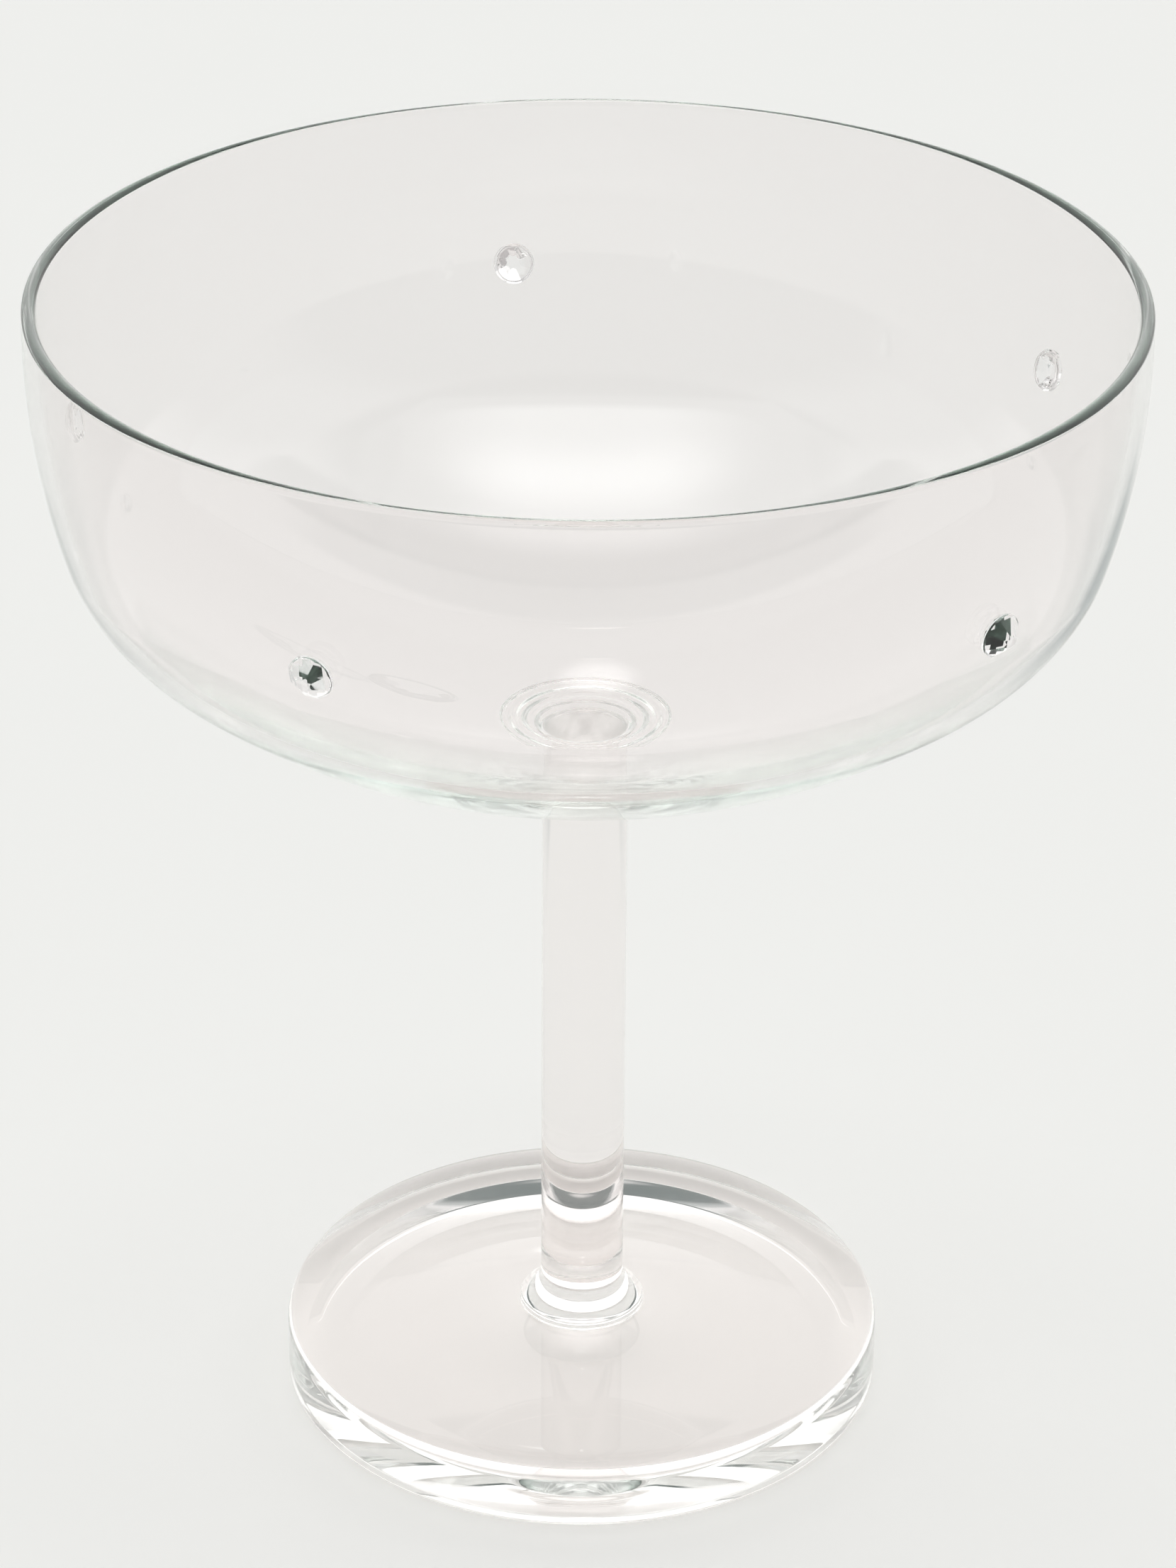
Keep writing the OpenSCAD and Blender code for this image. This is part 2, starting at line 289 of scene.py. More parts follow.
def section():
    """The whole outline, cut into the five fused pieces: {piece: [(point, seam)]}."""
    s = tell("coupe_turned")
    half = math.pi / 2

    side_c = Vector((s.bowl_diameter / 2 - s.side_radius, s.rim_height - s.widest_drop))
    bottom_c = Vector((0.0, s.bowl_bottom + s.bottom_radius))
    turn_c = meeting_point(bottom_c, s.bottom_radius - s.turn_radius, side_c, s.side_radius - s.turn_radius)
    floor_z = s.bowl_bottom + s.centre
    inner_turn = s.turn_radius - s.wall
    reach = floor_z + inner_turn
    inner_c = Vector((0.0, (reach * reach - turn_c.length_squared) / (2 * (reach - turn_c.y))))
    rise = s.widest_drop - s.wall / 2
    rim_c = side_c + Vector((math.sqrt((s.side_radius - s.wall / 2) ** 2 - rise * rise), rise))

    to_side = heading(side_c, turn_c)
    to_rim = heading(side_c, rim_c)
    collar_r = s.upper_collar / 2
    stem_r = s.stem_diameter / 2
    foot_r = s.foot_diameter / 2

    under_collar = math.asin(collar_r / s.bottom_radius)
    inside = (
        arc(inner_c, inner_c.y - floor_z, -half, heading(inner_c, turn_c), 44)
        + arc(turn_c, inner_turn, heading(inner_c, turn_c), to_side, 22)
        + arc(side_c, s.side_radius - s.wall, to_side, to_rim, 26)
        + arc(rim_c, s.wall / 2, to_rim + math.pi, to_rim, 24)
        + arc(side_c, s.side_radius, to_rim, to_side, 52)
        + arc(turn_c, s.turn_radius, to_side, heading(bottom_c, turn_c), 22)
        + arc(bottom_c, s.bottom_radius, heading(bottom_c, turn_c), under_collar - half, 36)
    )

    spread = collar_r - stem_r
    flare_r = (spread ** 2 + s.flare ** 2) / (2 * spread)
    flare_c = Vector((stem_r + flare_r, s.stem_top))
    upper_edge = Vector((collar_r, s.stem_top + s.flare))
    upper_lip = line(inside[-1], upper_edge, 4)
    upper_flare = arc(flare_c, flare_r, heading(flare_c, upper_edge), math.pi, 72)
    ripples = 4
    upper_flare = rippled(upper_flare, flare_c, s.ripple, ripples)
    rod = line((stem_r, s.stem_top), (stem_r, s.stem_bottom), 24)
    spread = s.lower_collar / 2 - stem_r
    flare_r = (spread ** 2 + s.flare ** 2) / (2 * spread)
    flare_c = Vector((stem_r + flare_r, s.stem_bottom))
    lower_edge = Vector((s.lower_collar / 2, s.stem_bottom - s.flare))
    lower_flare = arc(flare_c, flare_r, math.pi, heading(flare_c, lower_edge) + 2 * math.pi, 28)
    lower_lip = line(lower_edge, (lower_edge.x, s.foot_thickness), 4)

    hollow_r = foot_r - s.edge_radius - s.ring_width
    ball_r = (hollow_r ** 2 + s.hollow_depth ** 2) / (2 * s.hollow_depth)
    ball_c = Vector((0.0, s.hollow_depth - ball_r))
    shoulder_c = Vector((foot_r - s.shoulder_radius, s.foot_thickness - s.shoulder_radius))
    edge_c = Vector((foot_r - s.edge_radius, s.edge_radius))
    top = line((lower_edge.x, s.foot_thickness), (shoulder_c.x, s.foot_thickness), 30)
    shoulder = arc(shoulder_c, s.shoulder_radius, half, 0.0, 22)
    rim_of_foot = (
        line((foot_r, shoulder_c.y), (foot_r, edge_c.y), 10)
        + arc(edge_c, s.edge_radius, 0.0, -half, 14)
    )
    ring = line((edge_c.x, 0.0), (hollow_r, 0.0), 6)
    hollow = arc(ball_c, ball_r, heading(ball_c, (hollow_r, 0.0)), half, 40)

    soft = s.softness
    inside, under_weld, upper_lip = softened(inside, upper_lip, soft)
    upper_lip, upper_round, upper_flare = softened(upper_lip, upper_flare, soft)
    lower_flare, lower_round, lower_lip = softened(lower_flare, lower_lip, soft)
    lower_lip, foot_weld, top = softened(lower_lip, top, soft)
    shoulder_reach = s.shoulder_radius * 0.75
    top, onto_shoulder, shoulder = softened(top, shoulder, shoulder_reach, 20)
    ring, hollow_edge, hollow = softened(ring, hollow, soft)

    # Two pieces share the middle point of a weld
    middle = len(under_weld) // 2
    runs = [
        inside + under_weld[:middle + 1],
        under_weld[middle:] + upper_lip + upper_round + upper_flare,
        rod,
        lower_flare + lower_round + lower_lip + foot_weld[:middle + 1],
        foot_weld[middle:] + top + onto_shoulder + shoulder + rim_of_foot + ring + hollow_edge + hollow,
    ]
    weld_r = stem_r * 0.97
    seams = [
        arc(bottom_c, s.bottom_radius, math.asin((collar_r - 2 * soft) / s.bottom_radius) - half, -half, 12),
        line((weld_r, s.stem_top), (0.0, s.stem_top), 6),
        line((weld_r, s.stem_bottom), (0.0, s.stem_bottom), 6),
        line((lower_edge.x - 2 * soft, s.foot_thickness), (0.0, s.foot_thickness), 8),
    ]
    names = ["bowl", "upper_collar", "stem", "lower_collar", "foot"]
    pieces = {}
    for k, name in enumerate(names):
        above = [(p, 1.0) for p in reversed(seams[k - 1])] if k else []
        below = [(p, 1.0) for p in seams[k]] if k < len(seams) else []
        run = [(p, 0.0) for p in runs[k]]
        if above:
            run[0] = (run[0][0], 1.0)
        if below:
            run[-1] = (run[-1][0], 1.0)
        pieces[name] = above + run + below
    return pieces


# Node trees


def wire(tree, socket, value):
    """Feeds a node's input from an output, or sets it to a plain value."""
    if isinstance(value, bpy.types.NodeSocket):
        tree.links.new(value, socket)
    else:
        socket.default_value = value


def sum_node(tree, operation, a, b=0.0):
    """A Math node's result."""
    node = tree.nodes.new("ShaderNodeMath")
    node.operation = operation
    wire(tree, node.inputs[0], a)
    wire(tree, node.inputs[1], b)
    return node.outputs[0]


def spread_node(tree, value, low, high, to_low, to_high, smooth=True):
    """A Map Range node's result, clamped."""
    node = tree.nodes.new("ShaderNodeMapRange")
    node.interpolation_type = "SMOOTHSTEP" if smooth else "LINEAR"
    wire(tree, node.inputs["Value"], value)
    for socket, number in (("From Min", low), ("From Max", high), ("To Min", to_low), ("To Max", to_high)):
        node.inputs[socket].default_value = number
    return node.outputs["Result"]


def patch(tree, across, along, left, right, soft, near, far, fade):
    """A soft-edged rectangle: 1 inside, 0 outside."""
    sides = sum_node(
        tree, "MULTIPLY", spread_node(tree, across, left, left + soft, 0.0, 1.0),
        spread_node(tree, across, right - soft, right, 1.0, 0.0))
    ends = sum_node(
        tree, "MULTIPLY", spread_node(tree, along, near, near + fade, 0.0, 1.0),
        spread_node(tree, along, far - fade, far, 1.0, 0.0))
    return sum_node(tree, "MULTIPLY", sides, ends)


def new_tree(name, inputs):
    """A geometry tree with named inputs: (tree, group input, group output)."""
    tree = bpy.data.node_groups.new(name, "GeometryNodeTree")
    tree.interface.new_socket(name="Geometry", in_out="INPUT", socket_type="NodeSocketGeometry")
    for label, kind in inputs:
        tree.interface.new_socket(name=label, in_out="INPUT", socket_type=kind)
    tree.interface.new_socket(name="Geometry", in_out="OUTPUT", socket_type="NodeSocketGeometry")
    return tree, tree.nodes.new("NodeGroupInput"), tree.nodes.new("NodeGroupOutput")


def named_number(tree, name):
    """A named attribute of the geometry, as a number."""
    node = tree.nodes.new("GeometryNodeInputNamedAttribute")
    node.data_type = "FLOAT"
    node.inputs["Name"].default_value = name
    return node.outputs["Attribute"]


def turning_tree():
    """Turns a run of section points about the upright axis into a closed piece of glass."""
    old = bpy.data.node_groups.get("Turned glass")
    if old:
        return old
    tree, given, result = new_tree("Turned glass", [
        ("Segments", "NodeSocketInt"),
        ("Wobble", "NodeSocketFloat"),
        ("Wobble Scale", "NodeSocketFloat"),
        ("Glass", "NodeSocketMaterial"),
        ("Seam", "NodeSocketMaterial"),
    ])
    new, link = tree.nodes.new, tree.links.new
    segments = given.outputs["Segments"]

    count = new("GeometryNodeAttributeDomainSize")
    link(given.outputs["Geometry"], count.inputs["Geometry"])
    row = sum_node(tree, "ADD", segments, 1.0)
    grid = new("GeometryNodeMeshGrid")
    link(count.outputs["Point Count"], grid.inputs["Vertices X"])
    link(row, grid.inputs["Vertices Y"])

    index = new("GeometryNodeInputIndex").outputs["Index"]
    step = sum_node(tree, "FLOOR", sum_node(tree, "DIVIDE", index, row))
    around = sum_node(tree, "MODULO", sum_node(tree, "MODULO", index, row), segments)
    turn = sum_node(tree, "MULTIPLY", sum_node(tree, "DIVIDE", around, segments), 2 * math.pi)

    def taken(kind, value):
        node = new("GeometryNodeSampleIndex")
        node.data_type = kind
        link(given.outputs["Geometry"], node.inputs["Geometry"])
        link(value, node.inputs["Value"])
        link(step, node.inputs["Index"])
        return node.outputs["Value"]

    place = new("ShaderNodeSeparateXYZ")
    link(taken("FLOAT_VECTOR", new("GeometryNodeInputPosition").outputs["Position"]), place.inputs["Vector"])
    cos, sin = sum_node(tree, "COSINE", turn), sum_node(tree, "SINE", turn)

    true = new("ShaderNodeCombineXYZ")
    link(sum_node(tree, "MULTIPLY", place.outputs["X"], cos), true.inputs["X"])
    link(sum_node(tree, "MULTIPLY", place.outputs["X"], sin), true.inputs["Y"])
    link(place.outputs["Z"], true.inputs["Z"])
    noise = new("ShaderNodeTexNoise")
    noise.noise_dimensions = "3D"
    noise.inputs["Detail"].default_value = 0.0
    link(true.outputs["Vector"], noise.inputs["Vector"])
    link(given.outputs["Wobble Scale"], noise.inputs["Scale"])
    give = sum_node(tree, "MULTIPLY", noise.outputs["Fac"], taken("FLOAT", named_number(tree, "give")))
    give = sum_node(tree, "MULTIPLY", give, given.outputs["Wobble"])
    radius = sum_node(tree, "SUBTRACT", place.outputs["X"], give)

    blown = new("ShaderNodeCombineXYZ")
    link(sum_node(tree, "MULTIPLY", radius, cos), blown.inputs["X"])
    link(sum_node(tree, "MULTIPLY", radius, sin), blown.inputs["Y"])
    link(place.outputs["Z"], blown.inputs["Z"])
    put = new("GeometryNodeSetPosition")
    link(grid.outputs["Mesh"], put.inputs["Geometry"])
    link(blown.outputs["Vector"], put.inputs["Position"])
    shape = put.outputs["Geometry"]

    for name in ("seam", "split"):
        keep = new("GeometryNodeStoreNamedAttribute")
        keep.data_type = "FLOAT"
        keep.domain = "POINT"
        keep.inputs["Name"].default_value = name
        link(shape, keep.inputs["Geometry"])
        link(taken("FLOAT", named_number(tree, name)), keep.inputs["Value"])
        shape = keep.outputs["Geometry"]

    merge = new("GeometryNodeMergeByDistance")
    merge.inputs["Distance"].default_value = SAME_VERTEX
    link(shape, merge.inputs["Geometry"])
    smooth = new("GeometryNodeSetShadeSmooth")
    smooth.domain = "FACE"
    link(merge.outputs["Geometry"], smooth.inputs["Geometry"])
    crisp = new("GeometryNodeSetShadeSmooth")
    crisp.domain = "EDGE"
    crisp.inputs["Shade Smooth"].default_value = False
    link(smooth.outputs["Geometry"], crisp.inputs["Geometry"])
    link(sum_node(tree, "GREATER_THAN", named_number(tree, "split"), MARKED), crisp.inputs["Selection"])

    realize = new("GeometryNodeRealizeInstances")
    link(crisp.outputs["Geometry"], realize.inputs["Geometry"])
    glass = new("GeometryNodeSetMaterial")
    link(realize.outputs["Geometry"], glass.inputs["Geometry"])
    link(given.outputs["Glass"], glass.inputs["Material"])
    seam = new("GeometryNodeSetMaterial")
    link(glass.outputs["Geometry"], seam.inputs["Geometry"])
    link(sum_node(tree, "GREATER_THAN", named_number(tree, "seam"), MARKED), seam.inputs["Selection"])
    link(given.outputs["Seam"], seam.inputs["Material"])
    link(seam.outputs["Geometry"], result.inputs["Geometry"])
    return tree


def ring_tree():
    """Stands copies of one small piece on the bowl's wall, in a ring."""
    old = bpy.data.node_groups.get("Ring on wall")
    if old:
        return old
    tree, given, result = new_tree("Ring on wall", [
        ("Count", "NodeSocketInt"),
        ("Turn", "NodeSocketFloat"),
        ("Radius", "NodeSocketFloat"),
        ("Height", "NodeSocketFloat"),
        ("Tilt", "NodeSocketFloat"),
        ("Finish", "NodeSocketMaterial"),
        ("Seam", "NodeSocketMaterial"),
    ])
    new, link = tree.nodes.new, tree.links.new
    index = new("GeometryNodeInputIndex").outputs["Index"]
    step = sum_node(tree, "DIVIDE", 2 * math.pi, given.outputs["Count"])
    turn = sum_node(tree, "ADD", sum_node(tree, "MULTIPLY", index, step), given.outputs["Turn"])
    place = new("ShaderNodeCombineXYZ")
    radius = given.outputs["Radius"]
    link(sum_node(tree, "MULTIPLY", radius, sum_node(tree, "COSINE", turn)), place.inputs["X"])
    link(sum_node(tree, "MULTIPLY", radius, sum_node(tree, "SINE", turn)), place.inputs["Y"])
    link(given.outputs["Height"], place.inputs["Z"])
    points = new("GeometryNodePoints")
    link(given.outputs["Count"], points.inputs["Count"])
    link(place.outputs["Vector"], points.inputs["Position"])
    turned = new("ShaderNodeCombineXYZ")
    link(sum_node(tree, "ADD", given.outputs["Tilt"], math.pi / 2), turned.inputs["Y"])
    link(turn, turned.inputs["Z"])
    rotation = new("FunctionNodeEulerToRotation")
    link(turned.outputs["Vector"], rotation.inputs["Euler"])
    stand = new("GeometryNodeInstanceOnPoints")
    link(points.outputs["Points"], stand.inputs["Points"])
    link(given.outputs["Geometry"], stand.inputs["Instance"])
    link(rotation.outputs["Rotation"], stand.inputs["Rotation"])
    realize = new("GeometryNodeRealizeInstances")
    link(stand.outputs["Instances"], realize.inputs["Geometry"])
    finish = new("GeometryNodeSetMaterial")
    link(realize.outputs["Geometry"], finish.inputs["Geometry"])
    link(given.outputs["Finish"], finish.inputs["Material"])
    seam = new("GeometryNodeSetMaterial")
    link(finish.outputs["Geometry"], seam.inputs["Geometry"])
    link(sum_node(tree, "GREATER_THAN", named_number(tree, "seam"), MARKED), seam.inputs["Selection"])
    link(given.outputs["Seam"], seam.inputs["Material"])
    link(seam.outputs["Geometry"], result.inputs["Geometry"])
    return tree


def made_plain(name, mesh, tree, settings):
    """Runs a geometry tree on a mesh and gives the result as a plain object at the origin."""
    piece = bpy.data.objects.new(name, mesh)
    bpy.context.scene.collection.objects.link(piece)
    modifier = piece.modifiers.new("Shape", "NODES")
    modifier.node_group = tree
    sockets = {i.name: i.identifier for i in tree.interface.items_tree if i.in_out == "INPUT"}
    for label, value in settings.items():
        modifier[sockets[label]] = value
    depsgraph = bpy.context.evaluated_depsgraph_get()
    plain = bpy.data.meshes.new_from_object(piece.evaluated_get(depsgraph))
    piece.modifiers.remove(modifier)
    piece.data = plain
    plain.name = name
    bpy.data.meshes.remove(mesh)
    for attribute in [a.name for a in plain.attributes if a.name in ("seam", "split", "give")]:
        plain.attributes.remove(plain.attributes[attribute])
    return piece


def turned_piece(node, glass):
    """Turns one piece of the section, and has it stand for its CAD node."""
    s = tell("coupe_turned")
    run = section()[node]
    points = [run[0]]
    for p, seam in run[1:]:
        if (p - points[-1][0]).length > SAME_POINT:
            points.append((p, seam))
        else:
            points[-1] = (points[-1][0], max(seam, points[-1][1]))
    mesh = bpy.data.meshes.new(node)
    edges = [(k, k + 1) for k in range(len(points) - 1)]
    mesh.from_pydata([(max(p.x, 0.0), 0.0, p.y) for p, _ in points], edges, [])
    seams = [seam for _, seam in points]
    splits = [
        1.0 if seams[k] == 1.0 and 0.0 in seams[max(k - 1, 0):k + 2] else 0.0 for k in range(len(points))
    ]
    # The blown side strays from true round; the bottom, the stem and the foot don't
    true_bottom, true_rim = 0.006, 0.008
    low, high = s.bowl_bottom + true_bottom, s.rim_height - true_rim
    gives = [min(max((p.y - low) / (high - low), 0.0), 1.0) for p, _ in points]
    for name, values in (("seam", seams), ("split", splits), ("give", gives)):
        mesh.attributes.new(name, "FLOAT", "POINT").data.foreach_set("value", values)
    piece = made_plain(node + "_glass", mesh, turning_tree(), {
        "Segments": s.segments, "Wobble": s.wobble, "Wobble Scale": WOBBLE_SCALE,
        "Glass": glass, "Seam": fused_seam(),
    })
    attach(piece, "root")
    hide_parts(node)
    return piece


# Finishes


def shader_tree(name):
    """A new material: (material, tree, Principled node)."""
    material = bpy.data.materials.new(name)
    material.use_nodes = True
    tree = material.node_tree
    return material, tree, tree.nodes["Principled BSDF"]


def object_noise(tree, scale, detail):
    """Noise on Object coordinates."""
    place = tree.nodes.new("ShaderNodeTexCoord")
    noise = tree.nodes.new("ShaderNodeTexNoise")
    noise.inputs["Scale"].default_value = scale
    noise.inputs["Detail"].default_value = detail
    tree.links.new(place.outputs["Object"], noise.inputs["Vector"])
    return noise.outputs["Fac"]


def clear_glass(name, tint, ior, wave, wave_scale, haze, depth=None):
    """Clear glass with a handmade surface: slow waves, a trace of haze in patches, a colour in its depth."""
    old = bpy.data.materials.get(name)
    if old:
        return old
    material, tree, glass = shader_tree(name)
    glass.inputs["Base Color"].default_value = (*tint, 1.0)
    glass.inputs["Transmission Weight"].default_value = 1.0
    glass.inputs["IOR"].default_value = ior
    patches = object_noise(tree, wave_scale * 4.0, 3.0)
    tree.links.new(spread_node(tree, patches, 0.45, 0.75, 0.0, haze), glass.inputs["Roughness"])
    bump = tree.nodes.new("ShaderNodeBump")
    bump.inputs["Strength"].default_value = 1.0
    bump.inputs["Distance"].default_value = wave
    tree.links.new(object_noise(tree, wave_scale, 1.0), bump.inputs["Height"])
    tree.links.new(bump.outputs["Normal"], glass.inputs["Normal"])
    if depth:
        glass.inputs["Coat Weight"].default_value = tell("coupe_finish").depth
        glass.inputs["Coat Roughness"].default_value = 0.0
        glass.inputs["Coat Tint"].default_value = (*depth, 1.0)
    return material


def fused_seam():
    """Where two pieces were fused hot, nothing of the joint shows."""
    old = bpy.data.materials.get("fused seam")
    if old:
        return old
    material, _, seam = shader_tree("fused seam")
    seam.inputs["Alpha"].default_value = 0.0
    return material


def blown_glass():
    """Glass of the bowl."""
    look = tell("coupe_finish")
    return clear_glass(
        "blown glass", look.bowl_tint, GLASS_IOR,
        wave=0.00003, wave_scale=55.0, haze=0.012, depth=look.bowl_depth)


def rod_glass():
    """Glass of the stem, the collars and the foot."""
    look = tell("coupe_finish")
    return clear_glass(
        "rod glass", look.rod_tint, GLASS_IOR,
        wave=0.00003, wave_scale=70.0, haze=0.012, depth=look.rod_depth)


def cut_crystal():
    """Glass of the crystals, polished flat."""
    tint = tell("coupe_finish").crystal_tint
    return clear_glass("cut crystal", tint, CRYSTAL_IOR, wave=0.000001, wave_scale=900.0, haze=0.01)


def clear_glue():
    """Glue under the crystals."""
    tint = tell("coupe_finish").glue_tint
    return clear_glass("clear glue", tint, GLASS_IOR, wave=0.00001, wave_scale=700.0, haze=0.05)


def floor_paper():
    """Pale matt paper with a faint tooth, which shows painted dark reflections at its sides to the glass
    alone.
    """
    material, tree, paper = shader_tree("floor paper")
    look = tell("coupe_finish")
    base = look.floor
    ramp = tree.nodes.new("ShaderNodeValToRGB")
    ramp.color_ramp.elements[0].color = (*[c * 0.99 for c in base], 1.0)
    ramp.color_ramp.elements[1].color = (*[min(c * 1.01, 1.0) for c in base], 1.0)
    tree.links.new(object_noise(tree, 6.0, 4.0), ramp.inputs["Fac"])
    tree.links.new(ramp.outputs["Color"], paper.inputs["Base Color"])
    paper.inputs["Emission Color"].default_value = (*base, 1.0)
    paper.inputs["Emission Strength"].default_value = look.floor_glow
    paper.inputs["Roughness"].default_value = 0.9
    paper.inputs["Specular IOR Level"].default_value = 0.1

    # Painted dark reflections: beside the picture the floor turns dark for rays from the glass alone, while
    # the camera sees it pale; that draws the bowl's dark edges
    place = tree.nodes.new("ShaderNodeSeparateXYZ")
    tree.links.new(tree.nodes.new("ShaderNodeTexCoord").outputs["Object"], place.inputs["Vector"])
    x, y = place.outputs["X"], place.outputs["Y"]
    ahead = sum_node(tree, "ADD", sum_node(tree, "MAXIMUM", y, 0.0), DARK_REFLECTION_STAND_OFF)
    beside = sum_node(tree, "DIVIDE", x, ahead)
    right = patch(tree, beside, y, **RIGHT_DARK_REFLECTION_PATCH)
    left = patch(tree, beside, y, **LEFT_DARK_REFLECTION_PATCH)
    ends = sum_node(
        tree, "ADD", sum_node(tree, "MULTIPLY", right, look.right_dark_reflection),
        sum_node(tree, "MULTIPLY", left, look.left_dark_reflection))
    path = tree.nodes.new("ShaderNodeLightPath")
    plain = sum_node(tree, "MAXIMUM", path.outputs["Is Camera Ray"], path.outputs["Is Diffuse Ray"])
    ends = sum_node(tree, "MULTIPLY", ends, sum_node(tree, "SUBTRACT", 1.0, plain))
    mix = tree.nodes.new("ShaderNodeMixShader")
    tree.links.new(ends, mix.inputs["Fac"])
    tree.links.new(paper.outputs["BSDF"], mix.inputs[1])
    # The shader of the painted dark reflections, shown to the glass at the floor's sides
    dark = tree.nodes.new("ShaderNodeBsdfDiffuse")
    dark.inputs["Color"].default_value = (*PAINTED_DARK_REFLECTION, 1.0)
    tree.links.new(dark.outputs["BSDF"], mix.inputs[2])
    tree.links.new(mix.outputs["Shader"], tree.nodes["Material Output"].inputs["Surface"])
    return material


def soft_light(name, strength):
    """A lamp's face that fades out towards its edge."""
    material, tree, _ = shader_tree(name)
    tree.nodes.clear()
    place = tree.nodes.new("ShaderNodeTexCoord")
    reach = tree.nodes.new("ShaderNodeVectorMath")
    reach.operation = "LENGTH"
    tree.links.new(place.outputs["Object"], reach.inputs[0])
    glow = tree.nodes.new("ShaderNodeEmission")
    fading = spread_node(tree, reach.outputs["Value"], 0.3, 1.0, strength, 0.0)
    tree.links.new(fading, glow.inputs["Strength"])
    both = tree.nodes.new("ShaderNodeAddShader")
    tree.links.new(tree.nodes.new("ShaderNodeBsdfTransparent").outputs["BSDF"], both.inputs[0])
    tree.links.new(glow.outputs["Emission"], both.inputs[1])
    out = tree.nodes.new("ShaderNodeOutputMaterial")
    tree.links.new(both.outputs["Shader"], out.inputs["Surface"])
    return material


# Pieces


class COUPE_OT_bowl(bpy.types.Operator):
    """Blow the bowl"""

    bl_idname = "coupe.bowl"
    bl_label = "Bowl"

    def execute(self, context):
        mesh = turned_piece("bowl", blown_glass()).data
        seam, reach = mesh.materials.find("fused seam"), contact()
        for place, out in seats():
            for face in mesh.polygons:
                corners = [mesh.vertices[k].co for k in face.vertices]
                faces_out = face.normal.dot(out) > FACING
                if faces_out and max((corner - place).length for corner in corners) < reach:
                    face.material_index = seam
        return {"FINISHED"}


class COUPE_OT_collars(bpy.types.Operator):
    """Spread the stem's two ends into collars"""

    bl_idname = "coupe.collars"
    bl_label = "Collars"

    def execute(self, context):
        for node in ("upper_collar", "lower_collar"):
            turned_piece(node, rod_glass())
        return {"FINISHED"}


class COUPE_OT_stem(bpy.types.Operator):
    """Draw the stem"""

    bl_idname = "coupe.stem"
    bl_label = "Stem"

    def execute(self, context):
        turned_piece("stem", rod_glass())
        return {"FINISHED"}


class COUPE_OT_foot(bpy.types.Operator):
    """Press the foot"""

    bl_idname = "coupe.foot"
    bl_label = "Foot"

    def execute(self, context):
        turned_piece("foot", rod_glass())
        return {"FINISHED"}


def seat():
    """Where the crystals sit on the side: (radius, height, tilt, the wall's curve round, its curve down)."""
    s, c = tell("coupe_turned"), tell("coupe_crystals")
    fall = c.drop - s.widest_drop
    tilt = math.asin(fall / s.side_radius)
    radius = s.bowl_diameter / 2 - s.side_radius + s.side_radius * math.cos(tilt)
    return radius, s.rim_height - c.drop, tilt, radius / math.cos(tilt), s.side_radius


def seats():
    """The crystals' places on the wall: [(point, direction straight out)]."""
    c = tell("coupe_crystals")
    radius, height, tilt, _, _ = seat()
    turns = [c.turn + 2 * math.pi * k / c.count for k in range(c.count)]
    return [
        (Vector((radius * math.cos(a), radius * math.sin(a), height)),
         Vector((math.cos(tilt) * math.cos(a), math.cos(tilt) * math.sin(a), -math.sin(tilt))))
        for a in turns
    ]


def contact():
    """How far from its middle a crystal is wetted by the glue, with no air between."""
    return tell("coupe_crystals").glue_diameter / 2 * 0.92


def with_seam(mesh, seams):
    """A mesh that has some of its faces marked as lying against another piece."""
    values = [1.0 if seam else 0.0 for seam in seams]
    mesh.attributes.new("seam", "FLOAT", "FACE").data.foreach_set("value", values)
    return mesh


def cut_stone():
    """One crystal, flat back down at the origin: a round girdle, main facets, star facets and a table."""
    c = tell("coupe_crystals")
    low = c.glue_thickness
    stone = bmesh.new()
    bmesh.ops.create_cone(
        stone, cap_ends=True, cap_tris=False, segments=96, radius1=c.diameter / 2, radius2=c.diameter / 2,
        depth=c.height, matrix=Matrix.Translation((0.0, 0.0, low + c.height / 2)),
    )
    half_facet = math.pi / FACETS
    ridge = c.girdle + (c.diameter - c.star_diameter * math.cos(half_facet)) / 2 * math.tan(c.main_slope)
    rings = [
        (c.diameter / 2, low + c.girdle, c.main_slope, 0.0),
        (c.star_diameter / 2, low + ridge, c.star_slope, half_facet),
    ]
    for radius, height, slope, first in rings:
        for k in range(FACETS):
            turn = Matrix.Rotation(first + k * 2 * half_facet, 3, "Z")
            cut = bmesh.ops.bisect_plane(
                stone, geom=stone.verts[:] + stone.edges[:] + stone.faces[:], dist=SAME_VERTEX,
                plane_co=turn @ Vector((radius, 0.0, height)),
                plane_no=turn @ Vector((math.sin(slope), 0.0, math.cos(slope))), clear_outer=True,
            )
            rim = [e for e in cut["geom_cut"] if isinstance(e, bmesh.types.BMEdge)]
            bmesh.ops.edgeloop_fill(stone, edges=rim)
    bmesh.ops.remove_doubles(stone, verts=stone.verts[:], dist=SAME_CORNER)
    bmesh.ops.recalc_face_normals(stone, faces=stone.faces[:])
    back = min(stone.faces, key=lambda face: face.calc_center_median().z)
    bmesh.ops.inset_region(stone, faces=[back], thickness=c.diameter / 2 - contact())
    mesh = bpy.data.meshes.new("cut stone")
    stone.to_mesh(mesh)
    stone.free()
    return with_seam(mesh, [face.normal.z < -FACING and len(face.vertices) > 4 for face in mesh.polygons])


